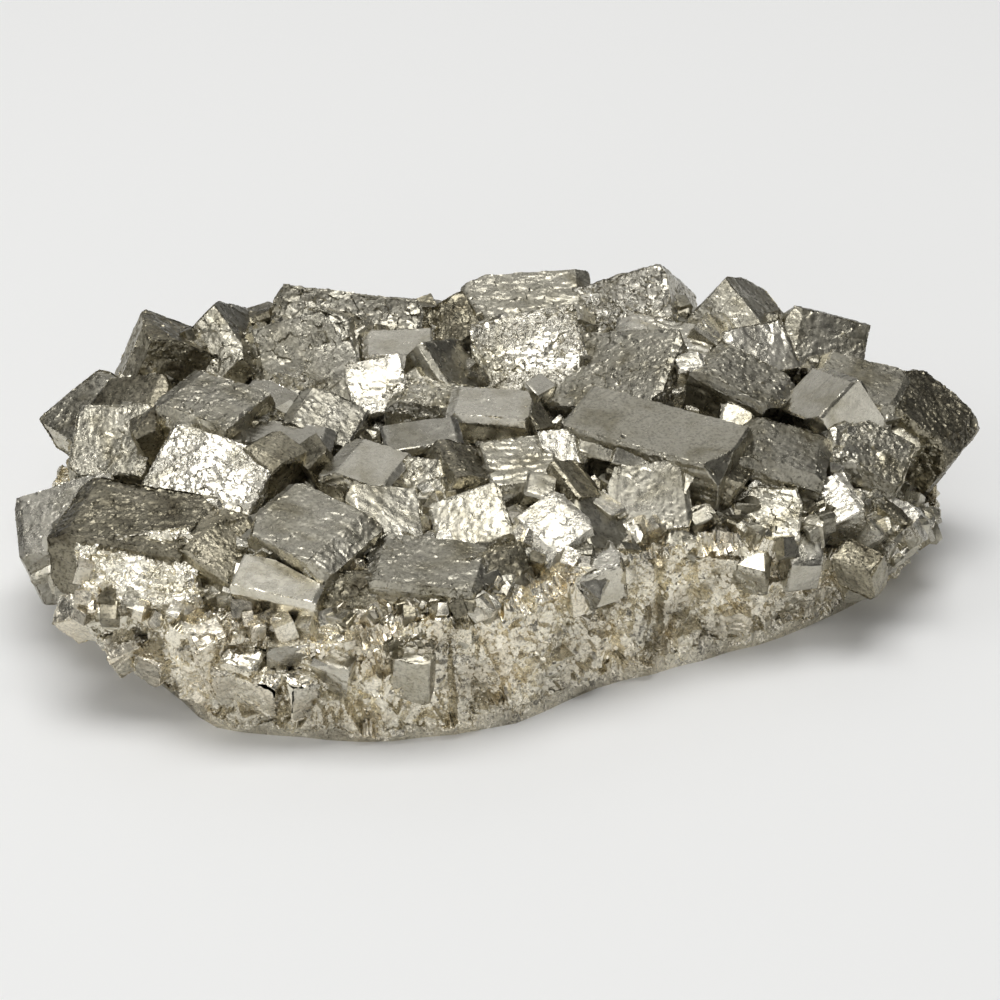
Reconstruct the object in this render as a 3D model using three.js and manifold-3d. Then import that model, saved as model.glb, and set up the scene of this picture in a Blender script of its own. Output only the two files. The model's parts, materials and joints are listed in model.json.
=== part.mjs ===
// A pyrite specimen: a slab of massive pyrite with a crust of intergrown cubic crystals.
// Millimetres, +Z up, +X along the slab. The underside is flat and rests at z = 0.

import * as THREE from "three";
import { ConvexGeometry } from "three/addons/geometries/ConvexGeometry.js";
import { mergeVertices } from "three/addons/utils/BufferGeometryUtils.js";
import Module from "manifold-3d";

const wasm = await Module();
wasm.setup();

// Driving dimensions of the slab
const crownHeight = 32; // height of the slab under the middle of the crust
const baseRound = 2; // how far the lower edge is rounded in
const outlineSteps = 64; // points round the slab
const ridgeDepth = 0.9; // depth of the columns on the broken side
const ridgeCounts = [13, 29]; // columns round the slab, coarse to fine
const sideLevels = [0, 0.1, 0.5, 1]; // rings up the side, as parts of its height
const crownRings = [0.93, 0.6]; // rings of the top, as parts of the outline
const undercutPower = 1.5; // how sharply the side draws in towards the base
const crownPower = 3; // how flat the top is before it falls to the rim

// Crystals
const gap = 0.3; // clearance between neighbours that touch
const crowding = 1.2; // how much wider crystals grew than the room they had
const weldDistance = 1e-4; // corners closer than this are one corner
const bevelAngle = Math.atan(0.5); // pyritohedron face against the cube face
const bevelRange = [0.03, 0.3]; // how far those faces cut in, against the crystal's mean size

// Outline at the widest level: x, y, how far the underside draws in below, height of that level
const outline = [
  [-60, -53, 3, 26],
  [-40, -57, 2, 24],
  [-18, -57, 1, 29],
  [4, -50, 0, 30],
  [24, -37, 0, 31],
  [44, -29, 1, 31],
  [66, -19, 4, 22],
  [84, -7, 7, 14],
  [96, 10, 8, 14],
  [93, 30, 9, 20],
  [76, 44, 8, 24],
  [46, 52, 7, 26],
  [8, 58, 6, 26],
  [-34, 52, 6, 26],
  [-72, 40, 8, 24],
  [-94, 22, 9, 20],
  [-98, -3, 7, 16],
  [-92, -20, 9, 16],
  [-78, -40, 8, 20],
];

const skins = {
  clean: { color: 0xb9b095, roughness: 0.25, metalness: 1 },
  etched: { color: 0x9c9478, roughness: 0.4, metalness: 1 },
  dull: { color: 0x7d7052, roughness: 0.45, metalness: 1 },
  massive: { color: 0xa89c7c, roughness: 0.6, metalness: 1 },
};

// Each crystal: at is the middle of its top face, size its width, depth and height, turn its angle
// about the vertical, and lean how far its top tips over and in which direction (0 is +X).
// A crystal is cut by the ones that stand before it in the list. Most are etched.
const crystals = [
  // crest and back row
  { name: "crest_right", at: [27, 47, 40], size: [18, 16, 20], turn: 0, lean: [50, -120], skin: "clean" },
  { name: "crest_left", at: [6, 53, 41], size: [23, 15, 18], turn: 4, lean: [16, -95] },
  { name: "striped_back", at: [35, 34, 42], size: [17, 13, 16], turn: -15, lean: [8, -60], skin: "clean" },
  { name: "north_plate", at: [-34, 39, 40], size: [26, 16, 16], turn: -7, lean: [46, -90] },
  { name: "north_peak", at: [-16, 51, 41], size: [13, 11, 16], turn: 30, lean: [22, 70], skin: "dull" },
  { name: "north_block", at: [-12, 42, 40], size: [12, 12, 16], turn: 20, lean: [35, -130], skin: "dull" },
  { name: "north_west_peak", at: [-54, 39, 40], size: [15, 14, 20], turn: -45, lean: [42, 5] },
  { name: "north_west_block", at: [-67, 38, 40], size: [18, 13, 20], turn: 8, lean: [28, 30], skin: "dull" },
  { name: "north_east_peak", at: [57, 45, 43], size: [15, 13, 18], turn: -45, lean: [38, -5] },
  { name: "east_block", at: [70, 35, 39], size: [15, 13, 18], turn: -5, lean: [50, -72] },
  // upper middle
  { name: "fang_block", at: [-22, 31, 42], size: [12, 9, 16], turn: 3, lean: [5, -90], skin: "clean" },
  { name: "fang", at: [-26, 19, 39], size: [10, 11, 14], turn: 12, lean: [32, -95], skin: "clean" },
  { name: "great_north_west", at: [-42, 27, 39], size: [19, 18, 20], turn: 10, lean: [50, -105] },
  { name: "bright_dome", at: [6, 31, 41], size: [19, 18, 18], turn: 10, lean: [32, -95], skin: "clean" },
  { name: "grey_step", at: [-9, 26, 39], size: [12, 11, 16], turn: -45, lean: [40, -15] },
  { name: "great_east", at: [24, 23, 41], size: [22, 19, 20], turn: -22, lean: [24, -155] },
  { name: "smooth_chip", at: [56, 29, 42], size: [12, 10, 12], turn: 25, lean: [33, -60], skin: "clean" },
  { name: "ridge_plate", at: [52, 18, 42], size: [16, 13, 16], turn: -28, lean: [15, -20] },
  { name: "slant_blade", at: [66, 12, 41], size: [11, 11, 14], turn: 35, lean: [32, 190], skin: "clean" },
  { name: "centre_left_block", at: [-14, 15, 39], size: [15, 9, 14], turn: -12, lean: [5, -90] },
  // middle
  { name: "warm_cube", at: [-60, 7, 43], size: [16, 15, 18], turn: -32, lean: [5, -90] },
  { name: "upper_flat", at: [-47, 11, 39], size: [12, 11, 14], turn: -25, lean: [15, -40], skin: "clean" },
  { name: "upper_chip", at: [-36, 6, 39], size: [12, 10, 14], turn: -20, lean: [24, -60] },
  { name: "grey_strip", at: [-44, -1, 38], size: [16, 8, 12], turn: -10, lean: [8, -90], skin: "clean" },
  { name: "centre_block", at: [-2, 9, 40], size: [14, 9, 16], turn: -8, lean: [5, -90], skin: "clean" },
  { name: "long_plank", at: [32, -3, 42], size: [28, 15, 20], turn: -26, lean: [4, -90] },
  { name: "two_tone_bar", at: [-16, -2, 39], size: [13, 7, 12], turn: 12, lean: [12, -90], skin: "clean" },
  { name: "dark_diamond", at: [-6, -12, 39], size: [10, 11, 12], turn: 25, lean: [30, 15], skin: "dull" },
  { name: "banded_plate", at: [5, -12, 39], size: [13, 12, 14], turn: 12, lean: [12, -80] },
  { name: "small_crown", at: [13, -7, 40], size: [8, 8, 12], turn: 15, lean: [28, -70], skin: "clean" },
  { name: "dark_chip", at: [16, -17, 38], size: [7, 9, 12], turn: 35, lean: [25, -10], skin: "dull" },
  { name: "smooth_hex", at: [-27, -13, 39], size: [12, 12, 14], turn: -25, lean: [8, -60], skin: "clean" },
  { name: "speckled_knob", at: [-15, -18, 37], size: [10, 10, 12], turn: -20, lean: [35, -120] },
  // front row
  { name: "silver_block", at: [-59, -15, 37], size: [19, 17, 18], turn: -24, lean: [28, -99], skin: "clean" },
  { name: "white_front", at: [-71, -40, 30], size: [19, 15, 13], turn: 5, lean: [35, -100], skin: "clean" },
  { name: "dark_giant", at: [-73, -26, 35], size: [23, 16, 18], turn: -15, lean: [5, -90], skin: "dull" },
  { name: "mid_hex", at: [-37, -34, 38], size: [18, 15, 18], turn: -35, lean: [8, -90] },
  { name: "golden_block", at: [-53, -33, 33], size: [13, 14, 16], turn: -30, lean: [22, -40], skin: "dull" },
  { name: "cream_tile", at: [-42, -45, 33], size: [14, 9, 12], turn: -15, lean: [16, -95], skin: "clean" },
  { name: "centre_table", at: [-14, -41, 34], size: [19, 14, 16], turn: -10, lean: [6, -90] },
  { name: "dark_front", at: [-23, -49, 29], size: [18, 13, 16], turn: -5, lean: [50, -97], skin: "dull" },
  { name: "dark_triangle", at: [-1, -43, 31], size: [13, 11, 14], turn: 22, lean: [48, -70], skin: "dull" },
  { name: "glitter_left", at: [-6, -29, 36], size: [12, 13, 14], turn: 12, lean: [30, -115] },
  { name: "glint_pile", at: [-22, -27, 36], size: [13, 12, 14], turn: 10, lean: [28, -60] },
  { name: "bright_cube", at: [10, -30, 35], size: [11, 11, 14], turn: 38, lean: [24, -105], skin: "clean" },
  { name: "beige_dome", at: [30, -20, 35], size: [13, 12, 16], turn: 8, lean: [42, -85] },
  { name: "low_grey", at: [22, -26, 33], size: [11, 11, 14], turn: 20, lean: [28, -30] },
  { name: "front_pale", at: [17, -35, 31], size: [10, 9, 9], turn: 20, lean: [12, -120], skin: "clean" },
  // ends
  { name: "west_prow", at: [-87, 24, 31], size: [15, 15, 9], turn: 40, lean: [22, -150] },
  { name: "west_shelf", at: [-79, 18, 36], size: [14, 12, 15], turn: -15, lean: [24, -140], skin: "dull" },
  { name: "west_bright", at: [-81, 5, 34], size: [14, 14, 16], turn: -10, lean: [35, -115] },
  { name: "west_block", at: [-89, -10, 26], size: [17, 17, 14], turn: 10, lean: [18, -140], skin: "clean" },
  { name: "east_slab", at: [76, 23, 38], size: [16, 14, 18], turn: -22, lean: [6, -60] },
  { name: "east_tip", at: [92, 20, 33], size: [17, 15, 18], turn: -30, lean: [28, -30], skin: "dull" },
  { name: "east_facets", at: [58, -3, 37], size: [16, 13, 19], turn: -12, lean: [14, -25] },
  { name: "east_low", at: [77, 3, 33], size: [14, 13, 16], turn: -15, lean: [32, -50] },
  { name: "east_glint", at: [66, -12, 29], size: [11, 10, 12], turn: 20, lean: [26, -125], skin: "clean" },
  { name: "east_button", at: [54, -17, 29], size: [11, 10, 12], turn: -10, lean: [38, -110] },
  { name: "east_pale", at: [78, -8, 22], size: [13, 11, 12], turn: -20, lean: [36, -75], skin: "clean" },
];

function toManifold(geometry) {
  geometry.deleteAttribute("normal");
  geometry.deleteAttribute("uv");
  const merged = mergeVertices(geometry, weldDistance);
  return new wasm.Manifold(new wasm.Mesh({
    numProp: 3,
    vertProperties: new Float32Array(merged.attributes.position.array),
    triVerts: new Uint32Array(merged.index.array),
  }));
}

function toGeometry(solid) {
  const mesh = solid.getMesh();
  const geometry = new THREE.BufferGeometry();
  geometry.setAttribute("position", new THREE.BufferAttribute(new Float32Array(mesh.vertProperties), 3));
  geometry.setIndex(new THREE.BufferAttribute(new Uint32Array(mesh.triVerts), 1));
  const flat = geometry.toNonIndexed();
  flat.computeVertexNormals();
  return flat;
}

// The largest of a solid's separate bodies, so that slivers left by a cut are dropped
function largestBody(solid) {
  const bodies = solid.decompose();
  return bodies.reduce((best, body) => (body.volume() > best.volume() ? body : best));
}

// A number from 0 to 1 that is always the same for the same two counts
function chance(count, other) {
  const wave = Math.sin(count * 127.1 + other * 311.7) * 43758.5453;
  return wave - Math.floor(wave);
}

// Faces of a crystal in its own axes, as planes: the cube, and the pyritohedron faces between them.
// Those faces grew unevenly, and the buried lower ones are left out.
function crystalFaces(size, order) {
  const half = size.map((side, axis) => (side / 2) * (axis < 2 ? crowding : 1));
  const meanSize = (size[0] + size[1] + size[2]) / 3;
  const faces = [];
  for (let axis = 0; axis < 3; axis++) {
    const next = (axis + 1) % 3;
    for (const sign of [-1, 1]) {
      const normal = new THREE.Vector3().setComponent(axis, sign);
      faces.push({ normal, distance: half[axis] });
      for (const side of [-1, 1]) {
        const tilted = new THREE.Vector3();
        tilted.setComponent(axis, sign * Math.cos(bevelAngle));
        tilted.setComponent(next, side * Math.sin(bevelAngle));
        if (tilted.z < 0) continue;
        const corner = half[axis] * Math.cos(bevelAngle) + half[next] * Math.sin(bevelAngle);
        const growth = chance(order, faces.length);
        const cut = meanSize * THREE.MathUtils.lerp(...bevelRange, growth * growth);
        faces.push({ normal: tilted, distance: corner - cut * Math.sin(bevelAngle) });
      }
    }
  }
  return faces;
}

// The corners where three faces meet inside all the others, each face moved out by grow
function cornersOf(faces, grow) {
  const corners = [];
  const rows = new THREE.Matrix3();
  for (let i = 0; i < faces.length; i++) {
    for (let j = i + 1; j < faces.length; j++) {
      for (let k = j + 1; k < faces.length; k++) {
        const trio = [faces[i], faces[j], faces[k]];
        const [a, b, c] = trio.map((face) => face.normal);
        rows.set(a.x, a.y, a.z, b.x, b.y, b.z, c.x, c.y, c.z);
        if (Math.abs(rows.determinant()) < 1e-6) continue;
        const corner = new THREE.Vector3(...trio.map((face) => face.distance + grow));
        corner.applyMatrix3(rows.invert());
        const inside = faces.every((face) => face.normal.dot(corner) < face.distance + grow + 1e-6);
        const isNew = corners.every((other) => other.distanceTo(corner) > 1e-3);
        if (inside && isNew) corners.push(corner);
      }
    }
  }
  return corners;
}

// A crystal as a solid where it stands in the cluster, with each face moved out by grow
function crystalSolid(crystal, order, grow) {
  const { at, size, turn, lean } = crystal;
  const [tip, heading] = lean.map(THREE.MathUtils.degToRad);
  const tipAxis = new THREE.Vector3(-Math.sin(heading), Math.cos(heading), 0);
  const spin = new THREE.Quaternion();
  spin.setFromAxisAngle(new THREE.Vector3(0, 0, 1), THREE.MathUtils.degToRad(turn));
  const place = new THREE.Quaternion();
  place.setFromAxisAngle(tipAxis, tip).multiply(spin);
  const top = new THREE.Vector3(...at);
  const middle = top.addScaledVector(new THREE.Vector3(0, 0, -1).applyQuaternion(place), size[2] / 2);
  const corners = cornersOf(crystalFaces(size, order), grow);
  corners.forEach((corner) => corner.applyQuaternion(place).add(middle));
  return toManifold(new ConvexGeometry(corners));
}

// The slab: rings up the broken side, then rings over the top to one point at its crown
function slabSolid() {
  const loopOf = (place) => new THREE.CatmullRomCurve3(outline.map(place), true);
  const rim = loopOf(([x, y]) => new THREE.Vector3(x, y, 0));
  const shape = loopOf(([x, y, drawIn, height]) => new THREE.Vector3(drawIn, height, 0));
  const columnAt = (t) => {
    const waves = ridgeCounts.map((count, i) => Math.abs(Math.sin(Math.PI * count * t + i)) / (i + 1));
    return ridgeDepth * waves.reduce((sum, wave) => sum + wave, 0);
  };
  const points = [];
  const addRing = (level, reach, inset) => {
    for (let i = 0; i < outlineSteps; i++) {
      const t = i / outlineSteps;
      const point = rim.getPoint(t);
      const { x: drawIn, y: height } = shape.getPoint(t);
      const shrink = inset + columnAt(t) + drawIn * (1 - level) ** undercutPower;
      point.multiplyScalar(reach * (1 - shrink / point.length()));
      const crown = (crownHeight - height) * (1 - reach ** crownPower);
      points.push(point.x, point.y, height * level + crown);
    }
  };
  sideLevels.forEach((level) => addRing(level, 1, level === 0 ? baseRound : 0));
  crownRings.forEach((reach) => addRing(1, reach, 0));
  points.push(0, 0, crownHeight, 0, 0, 0);
  const ringCount = sideLevels.length + crownRings.length;
  const crownPoint = ringCount * outlineSteps;
  const basePoint = crownPoint + 1;
  const index = [];
  for (let i = 0; i < outlineSteps; i++) {
    const next = (i + 1) % outlineSteps;
    for (let ring = 0; ring < ringCount - 1; ring++) {
      const low = ring * outlineSteps;
      const high = low + outlineSteps;
      index.push(low + i, low + next, high + next, low + i, high + next, high + i);
    }
    const last = (ringCount - 1) * outlineSteps;
    index.push(last + i, last + next, crownPoint);
    index.push(next, i, basePoint);
  }
  const geometry = new THREE.BufferGeometry();
  geometry.setAttribute("position", new THREE.Float32BufferAttribute(points, 3));
  geometry.setIndex(index);
  return toManifold(geometry);
}

const specimen = new THREE.Group();

function addPiece(name, solid, skin) {
  const mesh = new THREE.Mesh(toGeometry(solid), new THREE.MeshStandardMaterial(skins[skin]));
  mesh.name = name;
  specimen.add(mesh);
}

let matrix = slabSolid();
const grown = [];
crystals.forEach((crystal, order) => {
  let solid = crystalSolid(crystal, order, 0);
  for (const neighbour of grown) {
    solid = solid.subtract(neighbour);
  }
  const room = crystalSolid(crystal, order, gap);
  matrix = matrix.subtract(room);
  grown.push(room);
  addPiece(crystal.name, largestBody(solid), crystal.skin ?? "etched");
});
addPiece("matrix", largestBody(matrix), "massive");

// The origin is the middle of the footprint
const middle = new THREE.Box3().setFromObject(specimen).getCenter(new THREE.Vector3());
specimen.position.set(-middle.x, -middle.y, 0);

export default specimen;
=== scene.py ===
import itertools
import json
import math
import bmesh
import bpy
import numpy as np
from mathutils import Matrix, Vector
from mathutils.bvhtree import BVHTree


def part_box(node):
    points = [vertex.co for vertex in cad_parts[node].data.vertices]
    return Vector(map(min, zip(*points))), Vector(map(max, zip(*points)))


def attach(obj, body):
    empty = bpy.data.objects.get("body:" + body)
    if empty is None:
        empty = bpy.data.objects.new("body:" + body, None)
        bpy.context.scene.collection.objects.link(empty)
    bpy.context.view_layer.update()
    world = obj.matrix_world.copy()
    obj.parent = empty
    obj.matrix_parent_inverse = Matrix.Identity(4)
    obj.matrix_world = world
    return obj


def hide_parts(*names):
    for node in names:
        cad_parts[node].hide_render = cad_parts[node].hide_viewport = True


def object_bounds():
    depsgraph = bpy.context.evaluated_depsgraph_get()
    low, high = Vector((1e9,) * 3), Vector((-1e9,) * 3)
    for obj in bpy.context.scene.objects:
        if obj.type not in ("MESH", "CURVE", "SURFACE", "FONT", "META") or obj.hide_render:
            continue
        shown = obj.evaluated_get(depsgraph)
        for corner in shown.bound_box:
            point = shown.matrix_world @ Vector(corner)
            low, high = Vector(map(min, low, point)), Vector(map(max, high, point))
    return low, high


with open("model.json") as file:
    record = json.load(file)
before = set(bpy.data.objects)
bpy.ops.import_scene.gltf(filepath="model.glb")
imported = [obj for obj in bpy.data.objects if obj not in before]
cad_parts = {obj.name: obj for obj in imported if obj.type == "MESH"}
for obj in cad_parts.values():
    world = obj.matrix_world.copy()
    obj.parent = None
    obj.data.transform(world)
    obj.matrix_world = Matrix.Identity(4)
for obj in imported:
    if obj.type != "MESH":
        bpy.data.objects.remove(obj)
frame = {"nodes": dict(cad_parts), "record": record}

# A pyrite cluster: each crystal is regrown from its solid with stepped and etched faces,
# the slab gets its broken side, and small crystals fill the gaps. Metres, +Z up.
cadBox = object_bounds()
mm = 0.001
nodes = frame["nodes"]
slotOf = {part["node"]: part["material_slot"] for part in frame["record"]["subparts"]}

# the camera looks at the middle of the crust
view = {"elevation": 32, "distance": 0.600, "lens": 103.7, "aim": Vector((-0.0016, -0.0058, 0.0222))}

# name, place, width and depth, radiance of each lamp's face
lamps = [
    ("overheadSoftbox", (0.0, 0.05, 1.5), (1.1, 0.72), 4.9),
    ("backPanel", (-0.2, 1.3, 1.0), (1.7, 1.2), 0.48),
    ("leftFill", (-1.2, -0.5, 0.9), (0.7, 0.6), 2.2),
    ("frontFill", (-0.1, -1.1, 1.4), (0.8, 0.5), 1.42),
    ("lowFront", (-0.3, -1.5, 0.38), (2.2, 0.7), 0.95),
]
# the dim room: height from the floor, 0.5 is the horizon, and its grey
roomGreys = [(0.0, 0.14), (0.50, 0.17), (0.60, 0.10), (0.78, 0.13), (0.92, 0.34), (1.0, 0.5)]
palePaper = {"width": 6, "colour": (0.90, 0.90, 0.89), "roughness": 0.9, "specular": 0.1}


def setStage():
    up = math.radians(view["elevation"])
    back = Vector((0, -math.cos(up), math.sin(up)))
    cam = bpy.data.objects.new("camera", bpy.data.cameras.new("camera"))
    bpy.context.scene.collection.objects.link(cam)
    cam.location = view["aim"] + back * view["distance"]
    cam.rotation_euler = (-back).to_track_quat("-Z", "Y").to_euler()
    cam.data.lens = view["lens"]
    bpy.context.scene.camera = cam
    bpy.context.scene.view_settings.view_transform = "Standard"

    bpy.ops.mesh.primitive_plane_add(size=palePaper["width"])
    floor = bpy.context.object
    floor.name = "floor"
    paper = bpy.data.materials.new("palePaper")
    paper.use_nodes = True
    shader = paper.node_tree.nodes["Principled BSDF"]
    shader.inputs["Base Color"].default_value = (*palePaper["colour"], 1)
    shader.inputs["Roughness"].default_value = palePaper["roughness"]
    shader.inputs["Specular IOR Level"].default_value = palePaper["specular"]
    floor.data.materials.append(paper)

    for name, place, (wide, deep), radiance in lamps:
        light = bpy.data.lights.new(name, "AREA")
        light.shape = "RECTANGLE"
        light.size = wide
        light.size_y = deep
        light.energy = radiance * math.pi * wide * deep
        lamp = bpy.data.objects.new(name, light)
        lamp.location = place
        lamp.rotation_euler = (-Vector(place)).to_track_quat("-Z", "Y").to_euler()
        bpy.context.scene.collection.objects.link(lamp)

    world = bpy.data.worlds.new("dimRoom")
    bpy.context.scene.world = world
    world.use_nodes = True
    tree = world.node_tree
    where = tree.nodes.new("ShaderNodeTexCoord")
    split = tree.nodes.new("ShaderNodeSeparateXYZ")
    # heights from -1 to 1 become 0 to 1
    half = tree.nodes.new("ShaderNodeMath")
    half.operation = "MULTIPLY_ADD"
    half.inputs[1].default_value = 0.5
    half.inputs[2].default_value = 0.5
    ramp = tree.nodes.new("ShaderNodeValToRGB")
    fillRamp(ramp, roomGreys)
    tree.links.new(where.outputs["Generated"], split.inputs[0])
    tree.links.new(split.outputs["Z"], half.inputs[0])
    tree.links.new(half.outputs[0], ramp.inputs["Fac"])
    tree.links.new(ramp.outputs["Color"], tree.nodes["Background"].inputs["Color"])


def fillRamp(ramp, stops):
    # each stop is a position and a grey or a colour
    colours = ramp.color_ramp.elements
    colours[0].position = stops[0][0]
    colours[1].position = stops[-1][0]
    for position, _ in stops[1:-1]:
        colours.new(position)
    for stop, (_, colour) in zip(colours, stops):
        stop.color = (*colour, 1) if isinstance(colour, tuple) else (colour, colour, colour, 1)


# triangles: the longest edges at the start, how much shorter each round makes them, and how
# long they stay on faces that are hidden and on faces that show
edgeLength = {"start": 24 * mm, "step": 0.6, "coarse": 3 * mm, "fine": 0.5 * mm}


def cellChance(cells, seed):
    # a number from 0 to 1 for each whole-number cell, by mixing its bits
    mixed = cells[..., 0] * 73856093 ^ cells[..., 1] * 19349663 ^ cells[..., 2] * 83492791
    mixed = (mixed ^ (seed * 40503 + 12345)) & 0xFFFFFFFF
    mixed = ((mixed ^ (mixed >> 15)) * 2246822519) & 0xFFFFFFFF
    mixed = ((mixed ^ (mixed >> 13)) * 3266489917) & 0xFFFFFFFF
    return ((mixed ^ (mixed >> 16)) & 0xFFFFFFFF) / 0xFFFFFFFF


def softNoise(points, size, seed):
    # smooth noise from -1 to 1, size is the width of one bump
    scaled = points / size
    low = np.floor(scaled).astype(np.int64)
    part = scaled - low
    part = part * part * (3 - 2 * part)
    total = np.zeros(len(points))
    for corner in itertools.product((0, 1), repeat=3):
        weight = np.prod(np.where(corner, part, 1 - part), axis=1)
        total += weight * cellChance(low + np.array(corner), seed)
    return total * 2 - 1


def facetHeight(points, size, seed):
    # small tilted plates: each scattered cell has its own level and slope, about -1 to 1
    scaled = points / size
    low = np.floor(scaled).astype(np.int64)
    nearest = np.full(len(points), np.inf)
    cell = np.zeros_like(low)
    away = np.zeros_like(scaled)
    for step in itertools.product((-1, 0, 1), repeat=3):
        here = low + np.array(step)
        jitter = np.stack([cellChance(here, seed + k) for k in range(3)], axis=1)
        offset = scaled - here - jitter
        distance = (offset ** 2).sum(axis=1)
        closer = distance < nearest
        nearest[closer] = distance[closer]
        cell[closer] = here[closer]
        away[closer] = offset[closer]
    slope = np.stack([cellChance(cell, seed + 11 + k) for k in range(3)], axis=1) * 2 - 1
    return (cellChance(cell, seed + 20) * 2 - 1) * 0.4 + (slope * away).sum(axis=1)


def splitLongEdges(points, triangles, wanted, longest):
    # halves edges of the wanted triangles, longest ones first, until none is over the length
    limit = edgeLength["start"]
    while limit > longest:
        limit = max(limit * edgeLength["step"], longest)
        while True:
            count = len(points)
            pairs = np.sort(np.stack([triangles, np.roll(triangles, -1, axis=1)], axis=2), axis=2)
            keys = (pairs[..., 0] * count + pairs[..., 1]).ravel()
            edges, where = np.unique(keys, return_inverse=True)
            first, second = edges // count, edges % count
            asked = np.zeros(len(edges), bool)
            asked[where.reshape(-1, 3)[wanted].ravel()] = True
            long = asked & (np.linalg.norm(points[first] - points[second], axis=1) > limit)
            if not long.any():
                break
            middle = np.full(len(edges), -1)
            middle[long] = count + np.arange(long.sum())
            points = np.concatenate([points, (points[first[long]] + points[second[long]]) / 2])
            mids = middle[where.reshape(-1, 3)]
            cuts = (mids >= 0).sum(axis=1)
            # turn each triangle so that its cut edges come first
            turn = np.zeros(len(triangles), int)
            one, two = cuts == 1, cuts == 2
            turn[one] = np.argmax(mids[one] >= 0, axis=1)
            turn[two] = (np.argmin(mids[two] >= 0, axis=1) + 1) % 3
            order = (turn[:, None] + np.arange(3)) % 3
            a, b, c = np.take_along_axis(triangles, order, axis=1).T
            ab, bc, ca = np.take_along_axis(mids, order, axis=1).T
            pieces = [
                (cuts == 0, [(a, b, c)]),
                (one, [(a, ab, c), (ab, b, c)]),
                (two, [(ab, b, bc), (a, ab, bc), (a, bc, c)]),
                (cuts == 3, [(a, ab, ca), (ab, b, bc), (ca, bc, c), (ab, bc, ca)]),
            ]
            made, kept = [], []
            for chosen, corners in pieces:
                for corner in corners:
                    made.append(np.stack(corner, axis=1)[chosen])
                    kept.append(wanted[chosen])
            triangles = np.concatenate(made)
            wanted = np.concatenate(kept)
    return points, triangles, wanted


def triangleNormals(points, triangles):
    a, b, c = points[triangles[:, 0]], points[triangles[:, 1]], points[triangles[:, 2]]
    normal = np.cross(b - a, c - a)
    return normal / (np.linalg.norm(normal, axis=1, keepdims=True) + 1e-20)


def pointNormals(points, triangles):
    a, b, c = points[triangles[:, 0]], points[triangles[:, 1]], points[triangles[:, 2]]
    normal = np.cross(b - a, c - a)
    total = np.zeros_like(points)
    for corner in range(3):
        np.add.at(total, triangles[:, corner], normal)
    return total / (np.linalg.norm(total, axis=1, keepdims=True) + 1e-20)


def meshOf(obj):
    # the points and triangles of a solid, with shared corners joined
    bm = bmesh.new()
    bm.from_mesh(obj.data)
    bmesh.ops.remove_doubles(bm, verts=bm.verts, dist=0.002 * mm)
    bmesh.ops.triangulate(bm, faces=bm.faces)
    points = np.array([v.co[:] for v in bm.verts])
    triangles = np.array([[v.index for v in f.verts] for f in bm.faces])
    bm.free()
    return points, triangles


def hullOf(points):
    # the convex form round the points, with its flat faces joined before they are cut again
    bm = bmesh.new()
    for point in points:
        bm.verts.new(point)
    made = bmesh.ops.convex_hull(bm, input=bm.verts)
    loose = [e for e in made["geom_interior"] if isinstance(e, bmesh.types.BMVert)]
    bmesh.ops.delete(bm, geom=loose, context="VERTS")
    bmesh.ops.dissolve_limit(bm, angle_limit=math.radians(1.5), verts=bm.verts, edges=bm.edges)
    bmesh.ops.triangulate(bm, faces=bm.faces)
    bm.normal_update()
    bm.verts.index_update()
    corners = np.array([v.co[:] for v in bm.verts])
    triangles = np.array([[v.index for v in f.verts] for f in bm.faces])
    bm.free()
    return corners, triangles


def searchTree(objects):
    # one search tree over the solids given
    points, faces = [], []
    for obj in objects:
        start = len(points)
        points.extend(v.co[:] for v in obj.data.vertices)
        faces.extend([start + v for v in p.vertices] for p in obj.data.polygons)
    return BVHTree.FromPolygons(points, faces)


def addPiece(name, points, triangles, slot, replaced=(), marks=None, creaseAngle=32):
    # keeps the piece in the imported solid's box, and stores the marks that its finish reads
    points = np.clip(points, np.array(cadBox[0]), np.array(cadBox[1]))
    mesh = bpy.data.meshes.new(name)
    mesh.from_pydata(points.tolist(), [], triangles.tolist())
    for key, values in (marks or {}).items():
        mesh.attributes.new(key, "FLOAT", "FACE").data.foreach_set("value", values)
    mesh.shade_smooth()
    mesh.set_sharp_from_angle(angle=math.radians(creaseAngle))
    mesh.materials.append(finishes[slot])
    piece = bpy.data.objects.new(name, mesh)
    bpy.context.scene.collection.objects.link(piece)
    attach(piece, "root")
    if replaced:
        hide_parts(*replaced)
    return piece


# what all four finishes share: sizes of the painted dark sparkle specks, of polished patches and of the
# finest grain,
# and how far and in how wide waves the outlines of facets wander, against their size
metal = {"paintedSparkle": 0.55 * mm, "polish": 2.2 * mm, "grain": 0.28 * mm, "wander": 1.6, "waves": 0.6}


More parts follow.
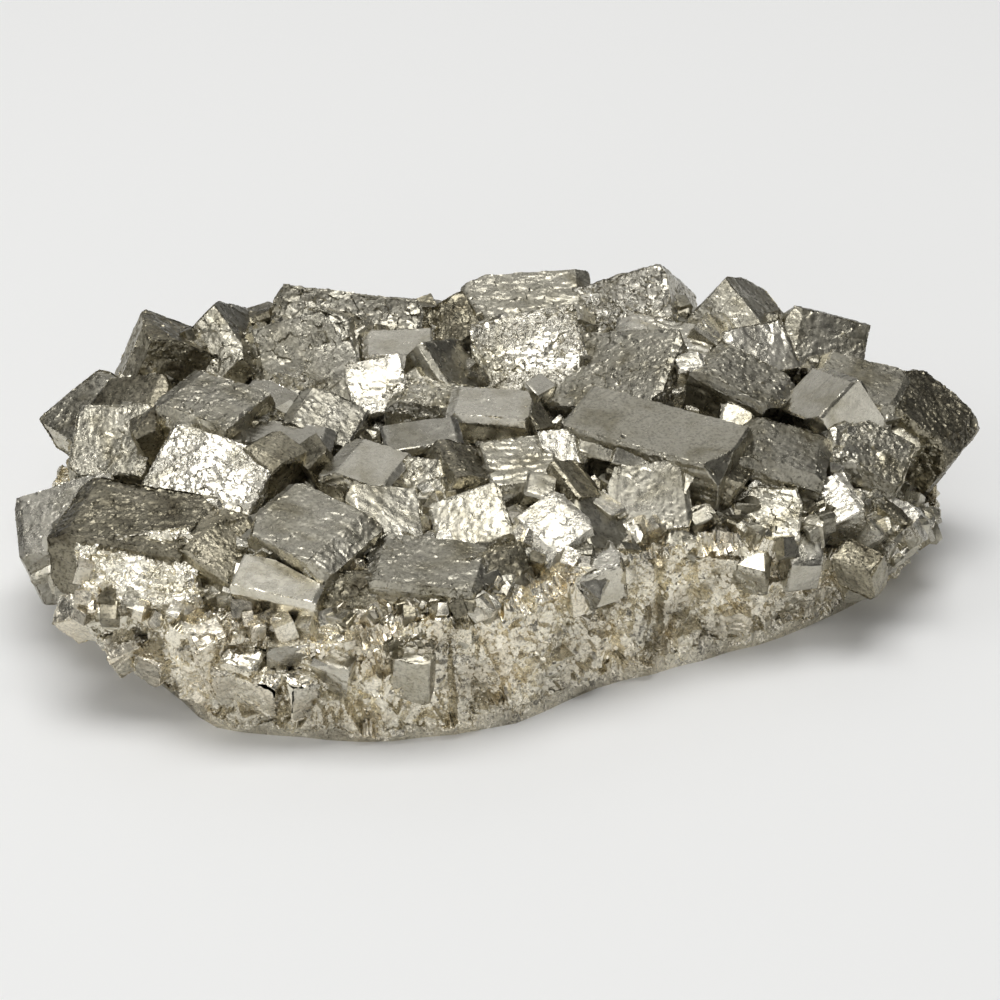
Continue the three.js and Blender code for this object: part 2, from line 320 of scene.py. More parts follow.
def pyrite(name, settings):
    # metallic pyrite: patchy colour with painted dark sparkle specks, tarnished faces that also carry
    # painted highlight and shade, and etched facets in the bump
    material = bpy.data.materials.new(name)
    material.use_nodes = True
    tree = material.node_tree
    shader = tree.nodes["Principled BSDF"]
    shader.inputs["Metallic"].default_value = 1.0

    def node(kind, **inputs):
        made = tree.nodes.new(kind)
        for key, value in inputs.items():
            made.inputs[key].default_value = value
        return made

    def combine(kind, operation, first, second):
        made = tree.nodes.new(kind)
        made.operation = operation
        for socket, value in zip(made.inputs, (first, second)):
            if isinstance(value, bpy.types.NodeSocket):
                tree.links.new(value, socket)
            else:
                socket.default_value = value
        return made.outputs["Value"] if operation != "SUBTRACT" else made.outputs["Vector"]

    def mark(key):
        made = tree.nodes.new("ShaderNodeAttribute")
        made.attribute_name = key
        return made.outputs["Fac"]

    where = tree.nodes.new("ShaderNodeTexCoord").outputs["Object"]

    def noise(size, detail, distortion=0.0):
        made = node("ShaderNodeTexNoise", Scale=1 / size, Detail=detail, Distortion=distortion)
        tree.links.new(where, made.inputs["Vector"])
        return made.outputs["Fac"]

    def ramp(source, stops):
        made = tree.nodes.new("ShaderNodeValToRGB")
        tree.links.new(source, made.inputs["Fac"])
        fillRamp(made, stops)
        return made.outputs["Color"]

    def multiply(first, second):
        mix = tree.nodes.new("ShaderNodeMix")
        mix.data_type = "RGBA"
        mix.blend_type = "MULTIPLY"
        mix.inputs[0].default_value = 1.0
        tree.links.new(first, mix.inputs[6])
        tree.links.new(second, mix.inputs[7])
        return mix.outputs[2]

    def facets(size, stretch):
        # scattered plates, each tilted its own way, their outlines bent by a soft noise
        wander = node("ShaderNodeTexNoise", Scale=metal["waves"] / size, Detail=3.0)
        tree.links.new(where, wander.inputs["Vector"])
        bent = tree.nodes.new("ShaderNodeVectorMath")
        bent.operation = "MULTIPLY_ADD"
        bent.inputs[1].default_value = (size * metal["wander"],) * 3
        tree.links.new(wander.outputs["Color"], bent.inputs[0])
        tree.links.new(where, bent.inputs[2])
        mapping = node("ShaderNodeMapping", Scale=(1 / size, 1 / size, 1 / (size * stretch)))
        tree.links.new(bent.outputs[0], mapping.inputs["Vector"])
        cells = node("ShaderNodeTexVoronoi", Scale=1.0, Randomness=1.0)
        tree.links.new(mapping.outputs[0], cells.inputs["Vector"])
        away = combine("ShaderNodeVectorMath", "SUBTRACT", mapping.outputs[0], cells.outputs["Position"])
        tilt = combine("ShaderNodeVectorMath", "SUBTRACT", cells.outputs["Color"], (0.5, 0.5, 0.5))
        return combine("ShaderNodeVectorMath", "DOT_PRODUCT", away, tilt)

    # colour: clean metal, with duller and golden patches, darker on the tarnished faces, and scaled by each
    # crystal's tone, which holds painted highlight and painted shade
    body = ramp(noise(settings["patch"], 4, 0.6), settings["colours"])
    # painted dark sparkle: specks darkened into the colour where tiny facets would mirror the dark room
    paintedSparkleSpecks = ramp(noise(metal["paintedSparkle"], 3), [(0.36, settings["paintedSparkleDark"]), (0.52, 1.0)])
    tree.links.new(multiply(multiply(body, paintedSparkleSpecks), mark("tarnish")), shader.inputs["Base Color"])

    low, high = settings["roughness"]
    polish = ramp(noise(metal["polish"], 5, 0.4), [(0.35, low), (0.68, high)])
    tree.links.new(polish, shader.inputs["Roughness"])

    etched = mark("etch")
    layers = [
        (facets(settings["facetSize"], 1.9), settings["facetDepth"]),
        (facets(settings["fineSize"], 1.0), settings["fineDepth"]),
        (noise(settings["foldSize"], 5, 0.5), settings["foldDepth"]),
    ]
    layers = [(combine("ShaderNodeMath", "MULTIPLY", relief, etched), depth) for relief, depth in layers]
    layers.append((noise(metal["grain"], 4, 0.8), settings["grain"]))
    below = None
    for source, depth in layers:
        bump = node("ShaderNodeBump", Strength=1.0, Distance=depth)
        tree.links.new(source, bump.inputs["Height"])
        if below:
            tree.links.new(below, bump.inputs["Normal"])
        below = bump.outputs["Normal"]
    tree.links.new(below, shader.inputs["Normal"])
    return material


finishes = {
    "clean_pyrite": pyrite("cleanPyrite", {
        "patch": 9 * mm,
        "colours": [(0.30, (0.52, 0.485, 0.38)), (0.48, (0.68, 0.645, 0.545)), (0.72, (0.76, 0.725, 0.625))],
        "paintedSparkleDark": 0.84, "roughness": (0.20, 0.34),
        "facetSize": 0.8 * mm, "facetDepth": 0.20 * mm, "fineSize": 0.40 * mm, "fineDepth": 0.08 * mm,
        "foldSize": 1.5 * mm, "foldDepth": 1.1 * mm, "grain": 0.016 * mm,
    }),
    "etched_pyrite": pyrite("etchedPyrite", {
        "patch": 8 * mm,
        "colours": [(0.28, (0.36, 0.325, 0.23)), (0.45, (0.56, 0.525, 0.42)), (0.70, (0.67, 0.635, 0.53))],
        "paintedSparkleDark": 0.68, "roughness": (0.22, 0.40),
        "facetSize": 0.8 * mm, "facetDepth": 0.24 * mm, "fineSize": 0.38 * mm, "fineDepth": 0.09 * mm,
        "foldSize": 1.4 * mm, "foldDepth": 0.8 * mm, "grain": 0.02 * mm,
    }),
    "dull_pyrite": pyrite("dullPyrite", {
        "patch": 7 * mm,
        "colours": [(0.30, (0.20, 0.175, 0.12)), (0.46, (0.38, 0.345, 0.25)), (0.70, (0.52, 0.475, 0.36))],
        "paintedSparkleDark": 0.5, "roughness": (0.22, 0.42),
        "facetSize": 0.8 * mm, "facetDepth": 0.24 * mm, "fineSize": 0.38 * mm, "fineDepth": 0.09 * mm,
        "foldSize": 1.4 * mm, "foldDepth": 0.8 * mm, "grain": 0.02 * mm,
    }),
    "massive_pyrite": pyrite("massivePyrite", {
        "patch": 9 * mm,
        "colours": [(0.30, (0.80, 0.72, 0.56)), (0.50, (0.90, 0.84, 0.69)), (0.72, (0.96, 0.91, 0.77))],
        "paintedSparkleDark": 0.66, "roughness": (0.14, 0.36),
        "facetSize": 1.1 * mm, "facetDepth": 0.32 * mm, "fineSize": 0.5 * mm, "fineDepth": 0.17 * mm,
        "foldSize": 2.2 * mm, "foldDepth": 0.65 * mm, "grain": 0.016 * mm,
    }),
}

# how each finish has grown: depths in millimetres, etch from 0 to 1
growth = {
    "clean_pyrite": {
        "plates": 0.28, "flakes": 0.10, "striae": 0.06, "terrace": 0.25, "wear": 0.35,
        "etch": 0.45, "chips": 3,
    },
    "etched_pyrite": {
        "plates": 0.50, "flakes": 0.22, "striae": 0.07, "terrace": 0.35, "wear": 0.5,
        "etch": 0.65, "chips": 5,
    },
    "dull_pyrite": {
        "plates": 0.55, "flakes": 0.25, "striae": 0.07, "terrace": 0.40, "wear": 0.5,
        "etch": 0.75, "chips": 6,
    },
    "massive_pyrite": {
        "plates": 1.10, "flakes": 0.35, "striae": 0.15, "terrace": 0.80, "wear": 0.8,
        "etch": 0.45, "chips": 7, "even": 0.45,
    },
}
# crystals that stand out from the others of their finish
# tone scales a crystal's colour: partly its own tone, partly painted highlight above 1 and painted shade
# below 1
special = {
    "bright_dome": {"etch": 1.0, "plates": 0.7, "flakes": 0.3, "even": 0.7},
    "silver_block": {"etch": 0.9, "plates": 0.5, "flakes": 0.3, "even": 0.6},
    "white_front": {"etch": 0.9, "plates": 1.0, "flakes": 0.4, "even": 0.7, "tone_and_painted_light": 1.35},
    "crest_right": {"etch": 1.0, "plates": 0.9, "flakes": 0.4, "even": 0.35, "tone_and_painted_light": 0.8},
    "crest_left": {"even": 0.3, "plates": 0.8, "tone_and_painted_light": 0.8},
    "fang": {"etch": 0.9, "plates": 0.6, "even": 0.5},
    "west_bright": {"etch": 0.9, "even": 0.6, "tone_and_painted_light": 1.1},
    "great_north_west": {"etch": 1.0, "plates": 0.8, "even": 0.6, "tone_and_painted_light": 0.9},
    "great_east": {"even": 0.5, "plates": 0.5, "flakes": 0.3, "striae": 0.15, "tone_and_painted_light": 0.76},
    "bright_cube": {"etch": 0.7, "even": 0.5, "tone_and_painted_light": 0.8},
    "small_crown": {"etch": 0.7, "even": 0.5, "tone_and_painted_light": 0.8},
    "dark_giant": {"tone_and_painted_light": 0.75, "even": 0.35, "striae": 0.15},
    "long_plank": {"tone_and_painted_light": 0.8, "etch": 0.35, "striae": 0.3, "plates": 0.2, "flakes": 0.1, "wear": 0.25},
    "ridge_plate": {"etch": 0.4, "striae": 0.24, "plates": 0.25, "tone_and_painted_light": 0.85},
    "banded_plate": {"etch": 0.4, "striae": 0.2, "plates": 0.25, "tone_and_painted_light": 0.95},
    "striped_back": {"etch": 0.3, "striae": 0.24, "tone_and_painted_light": 0.85},
    "warm_cube": {"tone_and_painted_light": 1.2, "even": 0.3},
    "upper_chip": {"tone_and_painted_light": 0.6, "striae": 0.03},
    "north_plate": {"even": 0.6, "plates": 0.9, "flakes": 0.35, "tone_and_painted_light": 0.88},
    "north_west_block": {"even": 0.4, "tone_and_painted_light": 0.88},
    "east_tip": {"even": 0.5, "plates": 0.9, "flakes": 0.4, "tone_and_painted_light": 0.8},
    "east_facets": {"even": 0.4, "plates": 0.7, "tone_and_painted_light": 0.85},
    "east_slab": {"even": 0.35, "plates": 0.6, "tone_and_painted_light": 0.8},
    "east_low": {"tone_and_painted_light": 0.8},
    "east_pale": {"tone_and_painted_light": 0.9},
    "centre_table": {"even": 0.45, "tone_and_painted_light": 0.78},
    "dark_front": {"even": 0.7, "plates": 0.8},
    "dark_triangle": {"even": 0.7, "plates": 0.7},
    "slant_blade": {"etch": 0.08, "plates": 0.06, "flakes": 0.03, "terrace": 0.1},
    "cream_tile": {"etch": 0.12, "plates": 0.08, "flakes": 0.03, "terrace": 0.12, "tone_and_painted_light": 1.2},
    "smooth_chip": {"etch": 0.15, "plates": 0.12, "flakes": 0.05, "tone_and_painted_light": 0.85},
    "smooth_hex": {"etch": 0.15, "plates": 0.12, "flakes": 0.05, "tone_and_painted_light": 0.85},
    "centre_block": {"etch": 0.15, "plates": 0.12, "flakes": 0.05, "tone_and_painted_light": 0.9},
    "fang_block": {"etch": 0.15, "plates": 0.15, "flakes": 0.05, "tone_and_painted_light": 0.9},
    "grey_strip": {"etch": 0.2, "plates": 0.15, "flakes": 0.05, "tone_and_painted_light": 0.9},
    "two_tone_bar": {"etch": 0.25, "tone_and_painted_light": 0.85},
    "low_grey": {"etch": 0.3, "tone_and_painted_light": 0.8},
    "mid_hex": {"etch": 0.45, "even": 0.3, "tone_and_painted_light": 0.85},
}
intergrowth = 1.06  # how far crystals run into each other, against the size of their solids
# widths of the marks on a grown face, in millimetres
markWidths = {
    "patch": 5, "plates": 2.6, "flakes": 1.2, "drift": 5, "terrace": 9, "wear": 2.2, "tarnish": 4.5,
    "line": 1.3, "lineSpread": 1.3,
}
chipDepth = {"least": 0.05, "spread": 0.13}  # of a chipped corner, against the crystal's width


def crystalAxes(corners, triangles):
    # the cube axes, from the widest faces
    a, b, c = corners[triangles[:, 0]], corners[triangles[:, 1]], corners[triangles[:, 2]]
    cross = np.cross(b - a, c - a)
    area = np.linalg.norm(cross, axis=1)
    normal = cross / area[:, None]
    totals = [(area[(normal @ n) > 0.999].sum(), i) for i, n in enumerate(normal)]
    first = normal[max(totals)[1]]
    across = [(t, i) for t, i in totals if abs(normal[i] @ first) < 0.15]
    second = normal[max(across or totals)[1]]
    return np.stack([first, second, np.cross(first, second)])


def cubeFaces(normals, axes, seed):
    # the cube axis that each normal is nearest to, and a number of its own for each face
    side = np.argmax(np.abs(normals @ axes.T), axis=1)
    signed = np.sign((normals * axes[side]).sum(axis=1)).astype(np.int64)
    return side, np.stack([side, signed, np.full(len(side), seed)], axis=1)


def etchShare(faceId, settings):
    # how much of the etching each crystal face takes: few take all of it
    return np.maximum(0.1 + 0.9 * cellChance(faceId, 5) ** 1.5, settings.get("even", 0))


def growFaces(points, triangles, shows, axes, settings, seed):
    # moves the points that show, inwards, by the marks that growth and etching leave
    shown = np.zeros(len(points), bool)
    shown[triangles[shows].ravel()] = True
    shown[triangles[~shows].ravel()] = False
    here = points[shown]
    normals = pointNormals(points, triangles)[shown]
    points = chipCorners(points, shown, axes, settings, seed)

    # each cube face has its own share of etching and of lines
    side, faceId = cubeFaces(normals, axes, seed)
    etched = etchShare(faceId, settings)
    lined = 0.3 + 1.2 * cellChance(faceId, 9)
    lineAt = (here * axes[(side + 1) % 3]).sum(axis=1) / mm

    patch = np.clip(softNoise(here, markWidths["patch"] * mm, seed) * 1.3 + 0.6, 0.1, 1)
    plates = facetHeight(here, markWidths["plates"] * mm, seed)
    flakes = facetHeight(here, markWidths["flakes"] * mm, seed + 40)
    period = markWidths["line"] + markWidths["lineSpread"] * cellChance(faceId, 14)
    drift = softNoise(here, markWidths["drift"] * mm, seed + 3) * 0.9
    striae = np.abs((lineAt / period + drift) % 1.0 - 0.4) + 0.5 * ((lineAt / period * 0.37 + drift) % 1.0)
    levels = softNoise(here, markWidths["terrace"] * mm, seed + 6) * 2.2
    terrace = np.clip((levels - np.floor(levels)) * 9 - 4, 0, 1) + np.floor(levels)

    # edges and corners are worn where the neighbouring triangles turn away
    turned = np.zeros_like(points)
    spread = np.zeros(len(points))
    faceNormals = triangleNormals(points, triangles)
    for corner in range(3):
        np.add.at(turned, triangles[:, corner], faceNormals)
        np.add.at(spread, triangles[:, corner], 1)
    bend = 1 - np.linalg.norm(turned, axis=1) / spread
    onEdge = np.clip(bend[shown] * 12, 0, 1)
    worn = softNoise(here, markWidths["wear"] * mm, seed + 8) * 1.2 + 0.35
    wear = onEdge * np.clip(worn, 0, 1)

    depth = (
        settings["plates"] * etched * patch * (0.6 - plates)
        + settings["flakes"] * etched * (0.5 - flakes)
        + settings["striae"] * lined * striae
        + settings["terrace"] * etched * np.clip(1.2 - terrace, 0, 3) * 0.6
        + settings["wear"] * wear
    )
    points[shown] -= normals * (np.clip(depth, 0, None) * mm)[:, None]
    return points


def chipCorners(points, shown, axes, settings, seed):
    # flat chips off some corners, each by its own slanting plane
    middle = (points.min(axis=0) + points.max(axis=0)) / 2
    local = (points - middle) @ axes.T
    lowest, highest = local.min(axis=0), local.max(axis=0)
    width = (highest - lowest).min()
    for chip in range(int(settings["chips"])):
        chance = cellChance(np.array([[chip, k, seed] for k in range(7)]), 60)
        corner = np.where(chance[:3] < 0.5, lowest, highest)
        slant = np.sign(corner) * (0.35 + chance[3:6])
        slant /= np.linalg.norm(slant)
        cut = width * (chipDepth["least"] + chipDepth["spread"] * chance[6])
        beyond = local @ slant - (corner @ slant - cut)
        beyond = np.where(shown, np.clip(beyond, 0, None), 0)
        local -= beyond[:, None] * slant
    return middle + local @ axes


def faceMarks(points, triangles, axes, settings, seed):
    # for each triangle, how etched the crystal face under it is, and how its colour is scaled by tarnish and
    # by the crystal's tone, painted highlight and shade included
    normals = triangleNormals(points, triangles)
    centres = points[triangles].mean(axis=1)
    _, faceId = cubeFaces(normals, axes, seed)
    patch = np.clip(softNoise(centres, markWidths["tarnish"] * mm, seed + 12) * 1.5 + 0.75, 0.1, 1.2)
    share = etchShare(faceId, settings)
    return {
        "tarnish": (1 - 0.45 * cellChance(faceId, 21) ** 2) * settings.get("tone_and_painted_light", 1),
        "etch": np.clip(settings["etch"] * share * patch, 0, 1),
    }


hidden = {"start": 0.05, "reach": 0.9}  # how far off a face another solid hides it, in millimetres


def showing(tree, points, triangles):
    # a triangle is hidden when it lies inside another solid or right against it
    centres = points[triangles].mean(axis=1)
    normals = triangleNormals(points, triangles)
    shows = np.ones(len(triangles), bool)
    for i, (centre, normal) in enumerate(zip(centres, normals)):
        start = Vector(centre + normal * hidden["start"] * mm)
        shows[i] = tree.ray_cast(start, Vector(normal), hidden["reach"] * mm)[0] is None
    return shows


def growCrystal(corners, tree, settings, seed):
    # a crystal's grown mesh and its marks, from the corners of its solid
    corners, triangles = hullOf(corners)
    axes = crystalAxes(corners, triangles)
    every = np.ones(len(triangles), bool)
    points, triangles, _ = splitLongEdges(corners, triangles, every, edgeLength["coarse"])
    shows = showing(tree, points, triangles)
    points, triangles, shows = splitLongEdges(points, triangles, shows, edgeLength["fine"])
    marks = faceMarks(points, triangles, axes, settings, seed)
    return growFaces(points, triangles, shows, axes, settings, seed), triangles, marks


def makeCrystals(tree):
    for count, name in enumerate(sorted(n for n in nodes if n != "matrix")):
        slot = slotOf[name]
        settings = {**growth[slot], **special.get(name, {})}
        corners, _ = meshOf(nodes[name])
        middle = (corners.min(axis=0) + corners.max(axis=0)) / 2
        corners = middle + (corners - middle) * intergrowth
        points, triangles, marks = growCrystal(corners, tree, settings, count * 31 + 7)
        addPiece(name + ".crystal", points, triangles, slot, [name], marks)


def blockCorners(size, bevel):
    # the corners of a block with bevelled edges
    half = np.array(size) / 2
    cut = bevel * min(half)
    corners = []
    for signs in itertools.product((-1, 1), repeat=3):
        for flat in range(3):
            inset = np.full(3, cut)
            inset[flat] = 0
            corners.append(np.array(signs) * (half - inset))
    return np.array(corners)


def tipped(turn, lean):
    # turned about the vertical, then tipped over: lean is how far and in which direction
    tip, heading = (math.radians(angle) for angle in lean)
    axis = Vector((-math.sin(heading), math.cos(heading), 0))
    return np.array(Matrix.Rotation(tip, 3, axis) @ Matrix.Rotation(math.radians(turn), 3, "Z"))


# smaller crystals that grew against the named ones: the neighbour, the place of the top face's
# middle as parts of the neighbour's box, size in millimetres, turn, lean, finish
companions = [
    ("great_east", (0.84, 0.32, 0.92), (6, 5, 7), 10, (22, -90), "clean_pyrite"),
    ("centre_block", (1.12, 0.3, 0.85), (7, 7, 9), 40, (35, -20), "dull_pyrite"),
    ("centre_block", (1.1, 1.0, 1.0), (6, 5, 8), 45, (20, -60), "clean_pyrite"),
    ("striped_back", (1.0, 0.55, 0.95), (10, 8, 9), -25, (28, -20), "clean_pyrite"),
    # painted shade: this dark, dull crystal right of silver_block fills the black, shaded side there
    ("silver_block", (1.0, 0.62, 0.92), (10, 11, 15), -38, (14, -15), "dull_pyrite"),
    ("smooth_hex", (-0.15, 0.7, 0.95), (7, 9, 11), 25, (32, -160), "dull_pyrite"),
    ("north_plate", (-0.12, 0.6, 0.75), (10, 8, 9), 10, (16, 170), "dull_pyrite"),
    ("glitter_left", (1.12, 0.8, 0.9), (7, 7, 10), -10, (22, -60), "etched_pyrite"),
    ("bright_cube", (1.0, 0.85, 0.9), (13, 5, 8), -42, (12, -45), "clean_pyrite"),
    ("bright_cube", (0.9, -0.05, 0.55), (8, 7, 12), -20, (32, -60), "clean_pyrite"),
    ("east_low", (0.3, 0.0, 0.55), (7, 7, 9), 12, (12, -90), "etched_pyrite"),
    ("east_low", (0.85, -0.05, 0.45), (8, 7, 9), -25, (32, -20), "dull_pyrite"),
    ("east_tip", (0.15, 0.05, 0.35), (9, 8, 10), 15, (32, -60), "etched_pyrite"),
    ("east_facets", (-0.12, 0.35, 0.7), (9, 10, 13), 20, (30, 15), "dull_pyrite"),
    ("long_plank", (0.72, 0.05, 0.3), (9, 6, 9), 30, (35, -100), "clean_pyrite"),
    ("long_plank", (0.9, -0.02, 0.18), (11, 6, 9), -14, (16, -90), "dull_pyrite"),
    ("west_block", (0.3, 0.08, 0.52), (8, 6, 9), 10, (36, -115), "clean_pyrite"),
    ("white_front", (-0.04, 0.22, 0.48), (8, 7, 10), -20, (35, -140), "massive_pyrite"),
    ("white_front", (0.34, 0.02, 0.22), (8, 6, 9), 20, (34, -110), "massive_pyrite"),
    ("white_front", (0.62, 0.0, 0.14), (7, 6, 8), -30, (20, -60), "massive_pyrite"),
    ("white_front", (0.95, -0.02, 0.3), (7, 6, 17), 25, (18, -90), "massive_pyrite"),
    ("white_front", (1.18, 0.02, 0.3), (6, 6, 16), -10, (26, -70), "massive_pyrite"),
    ("cream_tile", (-0.3, -0.1, 0.4), (7, 6, 15), 30, (18, -110), "massive_pyrite"),
    ("cream_tile", (0.1, -0.2, 0.1), (8, 6, 13), -20, (24, -80), "massive_pyrite"),
    ("cream_tile", (0.6, -0.1, 0.3), (9, 5, 15), 6, (18, -85), "clean_pyrite"),
    ("centre_table", (1.05, 0.35, 0.75), (7, 6, 9), -15, (30, -90), "etched_pyrite"),
    ("centre_table", (0.3, -0.1, 0.55), (8, 6, 9), 15, (24, -80), "dull_pyrite"),
    ("east_pale", (0.8, 0.35, 0.65), (8, 7, 9), 10, (30, -60), "etched_pyrite"),
    ("west_prow", (0.75, 0.5, 1.05), (8, 7, 8), 20, (30, -120), "clean_pyrite"),
    ("warm_cube", (-0.08, 0.3, 0.8), (7, 7, 10), 10, (22, -150), "dull_pyrite"),
    ("fang", (-0.1, 0.3, 0.7), (6, 7, 9), 30, (32, -130), "etched_pyrite"),
    ("ridge_plate", (0.45, 0.0, 0.7), (8, 6, 9), -10, (34, -80), "etched_pyrite"),
    ("cream_tile", (1.0, 0.1, 0.4), (8, 6, 15), -12, (14, -100), "massive_pyrite"),
    ("cream_tile", (-0.1, -0.15, 0.0), (7, 6, 12), 12, (26, -95), "massive_pyrite"),
    ("cream_tile", (0.28, -0.22, -0.12), (9, 7, 12), -28, (30, -85), "massive_pyrite"),
    ("cream_tile", (-0.5, 0.15, 0.15), (8, 6, 14), 20, (30, -110), "massive_pyrite"),
    ("cream_tile", (0.75, -0.3, -0.2), (7, 6, 10), 30, (24, -75), "massive_pyrite"),
    ("long_plank", (0.15, 0.35, 0.88), (9, 6, 9), -26, (40, -112), "etched_pyrite"),
    ("long_plank", (0.36, 0.22, 0.84), (10, 6, 9), -22, (44, -100), "clean_pyrite"),
    ("long_plank", (0.57, 0.1, 0.78), (9, 6, 10), -30, (40, -105), "etched_pyrite"),
    ("long_plank", (0.92, 0.2, 0.72), (6, 9, 10), -20, (20, -20), "dull_pyrite"),
    ("east_tip", (0.3, 0.1, 0.72), (8, 7, 9), 20, (30, -70), "etched_pyrite"),
    ("east_tip", (0.12, 0.3, 0.85), (7, 7, 9), -10, (24, -140), "clean_pyrite"),
    ("east_slab", (0.8, 0.15, 0.85), (8, 7, 9), 30, (32, -40), "etched_pyrite"),
    ("north_plate", (0.98, 0.7, 0.72), (8, 7, 9), 20, (30, -120), "dull_pyrite"),
    ("crest_left", (0.06, 0.35, 0.78), (9, 8, 10), -30, (30, -150), "dull_pyrite"),
    ("dark_front", (0.1, -0.02, 0.4), (8, 6, 13), -24, (30, -80), "clean_pyrite"),
    ("dark_front", (0.75, -0.02, 0.45), (8, 5, 12), -14, (16, -80), "etched_pyrite"),
    ("east_button", (-0.55, 0.25, 0.6), (9, 8, 10), 25, (32, -80), "clean_pyrite"),
    ("east_button", (0.15, -0.2, 0.5), (9, 6, 9), -15, (24, -100), "etched_pyrite"),
    ("east_glint", (0.15, -0.2, 0.55), (8, 7, 9), 18, (28, -70), "clean_pyrite"),
    ("east_glint", (0.8, -0.15, 0.45), (9, 7, 9), -30, (20, -110), "dull_pyrite"),
    ("east_pale", (0.35, -0.1, 0.5), (8, 7, 9), 12, (26, -90), "etched_pyrite"),
    ("front_pale", (-0.25, 0.6, 0.9), (7, 6, 9), -30, (38, -60), "etched_pyrite"),
    ("beige_dome", (0.2, -0.1, 0.6), (7, 6, 9), 15, (30, -120), "clean_pyrite"),
    ("beige_dome", (0.95, -0.05, 0.5), (8, 6, 9), -20, (34, -70), "etched_pyrite"),
]


companionForm = {"seed": 23, "bevel": 0.22, "uneven": 0.09, "relief": 0.6}


def makeCompanions(tree):
    rng = np.random.default_rng(companionForm["seed"])
    batches = {}
    for count, (host, place, size, turn, lean, slot) in enumerate(companions):
        lowest, highest = (np.array(corner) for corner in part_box(host))
        rotation = tipped(turn, lean)
        top = lowest + (highest - lowest) * np.array(place)
        corners = blockCorners(np.array(size) * mm, companionForm["bevel"])
        corners += np.array((0, 0, -size[2] * mm / 2))
        uneven = rng.uniform(-1, 1, corners.shape) * companionForm["uneven"] * min(size) * mm
        corners = corners @ rotation.T + top + uneven
        settings = dict(growth[slot])
        for key in ("plates", "flakes", "striae", "terrace", "wear"):
            settings[key] *= companionForm["relief"]
        grown = growCrystal(corners, tree, settings, count * 17 + 901)
        batches.setdefault(slot, []).append(grown)
    for slot, grown in batches.items():
        points, triangles, marks = joined(grown)
        addPiece("companions." + slot.split("_")[0], points, triangles, slot, marks=marks)


def joined(grown):
    # several meshes and their marks as one
    starts = np.cumsum([0] + [len(points) for points, _, _ in grown])
    points = np.concatenate([points for points, _, _ in grown])
    triangles = np.concatenate([triangles + start for (_, triangles, _), start in zip(grown, starts)])
    marks = {key: np.concatenate([m[key] for _, _, m in grown]) for key in grown[0][2]}
    return points, triangles, marks


# small crystals in the crevices and on the bare slab, sizes in millimetres
druse = {
    "seed": 11, "step": 1.5, "reach": 4, "sunk": 1.2, "share": 0.75,
    "sizes": (1.6, 4.4), "rooted": 0.15, "jitter": 0.5, "zones": ("west", "middle", "east"),
    "slots": [("etched_pyrite", 0.5), ("clean_pyrite", 0.3), ("dull_pyrite", 0.2)],
    "pale": {"share": 0.6, "before": -30},  # grains of the slab's own metal along the front
}


def makeDruse(tree):
    rng = np.random.default_rng(druse["seed"])
    lowest, highest = np.array(cadBox[0]), np.array(cadBox[1])
    step = druse["step"] * mm
    across = np.arange(lowest[0], highest[0], step)
    along = np.arange(lowest[1], highest[1], step)
    heights = np.full((len(across), len(along)), np.nan)
    for i, x in enumerate(across):
        for j, y in enumerate(along):
            hit = tree.ray_cast(Vector((x, y, highest[2] + mm)), Vector((0, 0, -1)))[0]
            if hit is not None:
                heights[i, j] = hit.z
    reach = druse["reach"]
    names = [slot for slot, _ in druse["slots"]]
    odds = [share for _, share in druse["slots"]]
    batches = {}
    for i in range(reach, len(across) - reach):
        for j in range(reach, len(along) - reach):
            around = heights[i - reach:i + reach + 1, j - reach:j + reach + 1]
            # none behind the skyline, where it would stand loose
            if np.isnan(heights[i, j]) or rng.random() > druse["share"]:
                continue
            if along[j] > 0 and np.isnan(around).any():
                continue
            sunk = np.nanmean(around) - heights[i, j]
            if sunk < druse["sunk"] * mm:
                continue
            low, high = druse["sizes"]
            size = (low + (high - low) * min(rng.random() ** 1.5 + sunk / (16 * mm), 1)) * mm
            shape = size * rng.uniform(0.7, 1.3, 3)
            corners = blockCorners(shape, rng.uniform(0.1, 0.4))
            corners += rng.uniform(-0.08, 0.08, corners.shape) * size
            rotation = tipped(rng.uniform(0, 90), (rng.uniform(0, 50), rng.uniform(0, 360)))
            place = np.array((across[i], along[j], heights[i, j] - druse["rooted"] * size))
            place += rng.uniform(-druse["jitter"], druse["jitter"], 3) * step
            points, triangles = hullOf(corners @ rotation.T + place)
            marks = {
                "tarnish": np.full(len(triangles), rng.uniform(0.5, 1.0)),
                "etch": np.full(len(triangles), rng.uniform(0.0, 0.7)),
            }
            part = (across[i] - lowest[0]) / (highest[0] - lowest[0] + mm)
            zone = int(part * len(druse["zones"]))
            slot = rng.choice(names, p=odds)
            if along[j] < druse["pale"]["before"] * mm and rng.random() < druse["pale"]["share"]:
                slot = "massive_pyrite"
            key = (slot, zone)
            batches.setdefault(key, []).append((points, triangles, marks))
    for (slot, zone), grown in sorted(batches.items()):
        points, triangles, marks = joined(grown)
        name = "druse." + slot.split("_")[0] + "." + druse["zones"][zone]
        addPiece(name, points, triangles, slot, marks=marks, creaseAngle=20)
    print("druse crystals", sum(len(grown) for grown in batches.values()))


# the broken slab: sizes and depths in millimetres
slab = {
    "edge": 0.6, "coarse": 4, "socket": 0.6,
    "columns": (6.5, 6.5, 14.0), "columnDepth": 2.8,
    "blocks": (3.2, 3.2, 4.0), "blockDepth": 1.2,
    "grains": 1.5, "grainDepth": 0.45, "deepest": 5.5, "foot": 3,
    "crack": {"at": 31, "width": 1.3, "depth": 2.5, "above": 6},
}


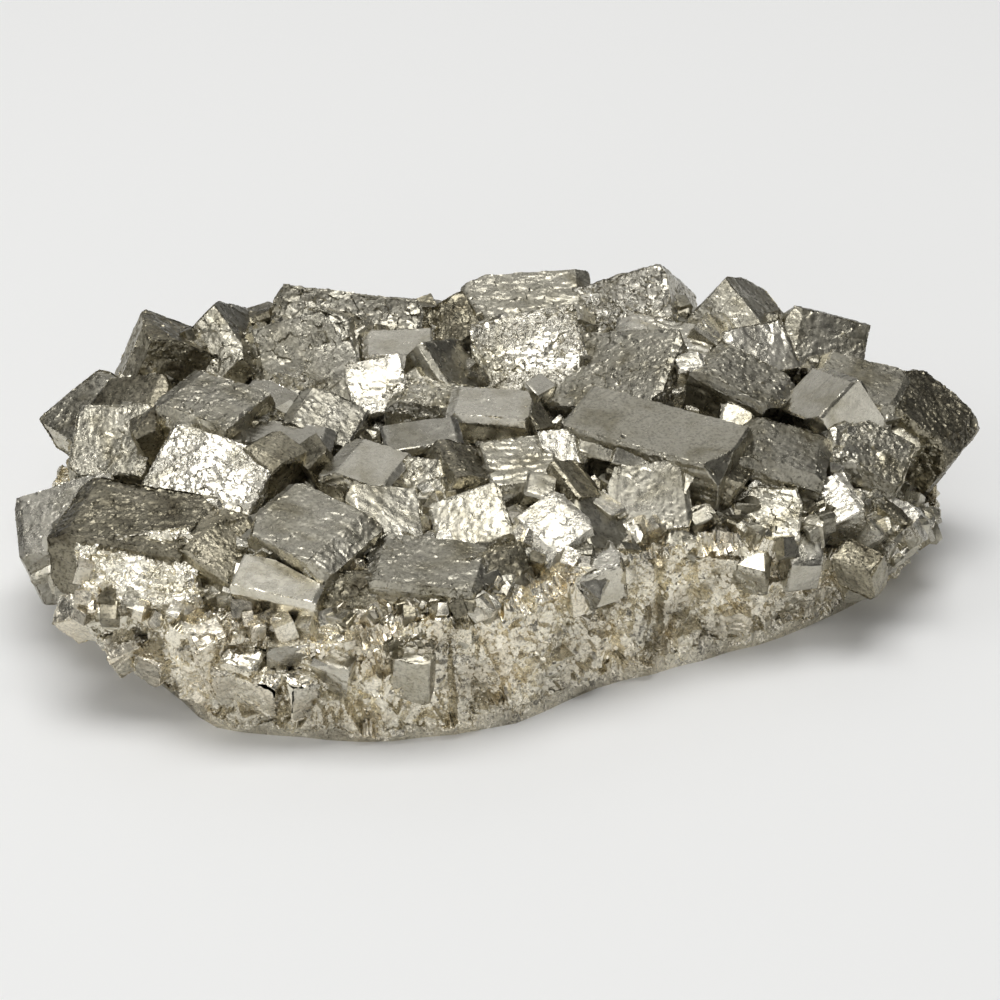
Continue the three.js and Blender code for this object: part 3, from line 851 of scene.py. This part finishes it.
def makeSlab():
    points, triangles = meshOf(nodes["matrix"])
    every = np.ones(len(triangles), bool)
    points, triangles, _ = splitLongEdges(points, triangles, every, slab["coarse"] * mm)
    normals = triangleNormals(points, triangles)
    centres = points[triangles].mean(axis=1)
    # sockets are the faces that lie against a crystal's solid
    crystals = searchTree([obj for name, obj in nodes.items() if name != "matrix"])
    near = slab["socket"] * mm
    bare = np.array([crystals.find_nearest(Vector(c), near)[0] is None for c in centres])
    underside = (normals[:, 2] < -0.9) & (centres[:, 2] < 0.5 * mm)
    bare &= ~underside
    points, triangles, bare = splitLongEdges(points, triangles, bare, slab["edge"] * mm)
    shown = np.zeros(len(points), bool)
    shown[triangles[bare].ravel()] = True
    shown[triangles[~bare].ravel()] = False
    here = points[shown]
    outward = pointNormals(points, triangles)[shown]
    columns = facetHeight(here, np.array(slab["columns"]) * mm, 301)
    blocks = facetHeight(here, np.array(slab["blocks"]) * mm, 412)
    grains = facetHeight(here, slab["grains"] * mm, 523)
    depth = (
        slab["columnDepth"] * (0.5 - columns)
        + slab["blockDepth"] * (0.5 - blocks)
        + slab["grainDepth"] * (0.5 - grains)
    )
    crack = slab["crack"]
    aside = here[:, 0] / mm - crack["at"] + 2.5 * softNoise(here, 6 * mm, 640)
    depth += crack["depth"] * np.exp(-(aside / crack["width"]) ** 2) * (here[:, 2] > crack["above"] * mm)
    depth = np.clip(depth, 0, slab["deepest"]) * np.clip(here[:, 2] / (slab["foot"] * mm), 0, 1)
    points[shown] = here - outward * (depth * mm)[:, None]
    centres = points[triangles].mean(axis=1)
    # more broken and glittering towards the foot, and darker in colour there
    low = np.clip(1 - centres[:, 2] / (7 * mm), 0, 1)
    marks = {
        "tarnish": np.clip(0.95 + 0.3 * softNoise(centres, 7 * mm, 77) - 0.15 * low, 0.6, 1.05),
        "etch": np.clip(0.5 + 0.8 * softNoise(centres, 5 * mm, 78) + low, 0.08, 1),
    }
    addPiece("matrix.slab", points, triangles, "massive_pyrite", ["matrix"], marks, creaseAngle=28)


print("stage")
setStage()
solids = searchTree(nodes.values())
print("crystals")
makeCrystals(solids)
print("companions")
makeCompanions(solids)
print("druse")
makeDruse(solids)
print("slab")
makeSlab()
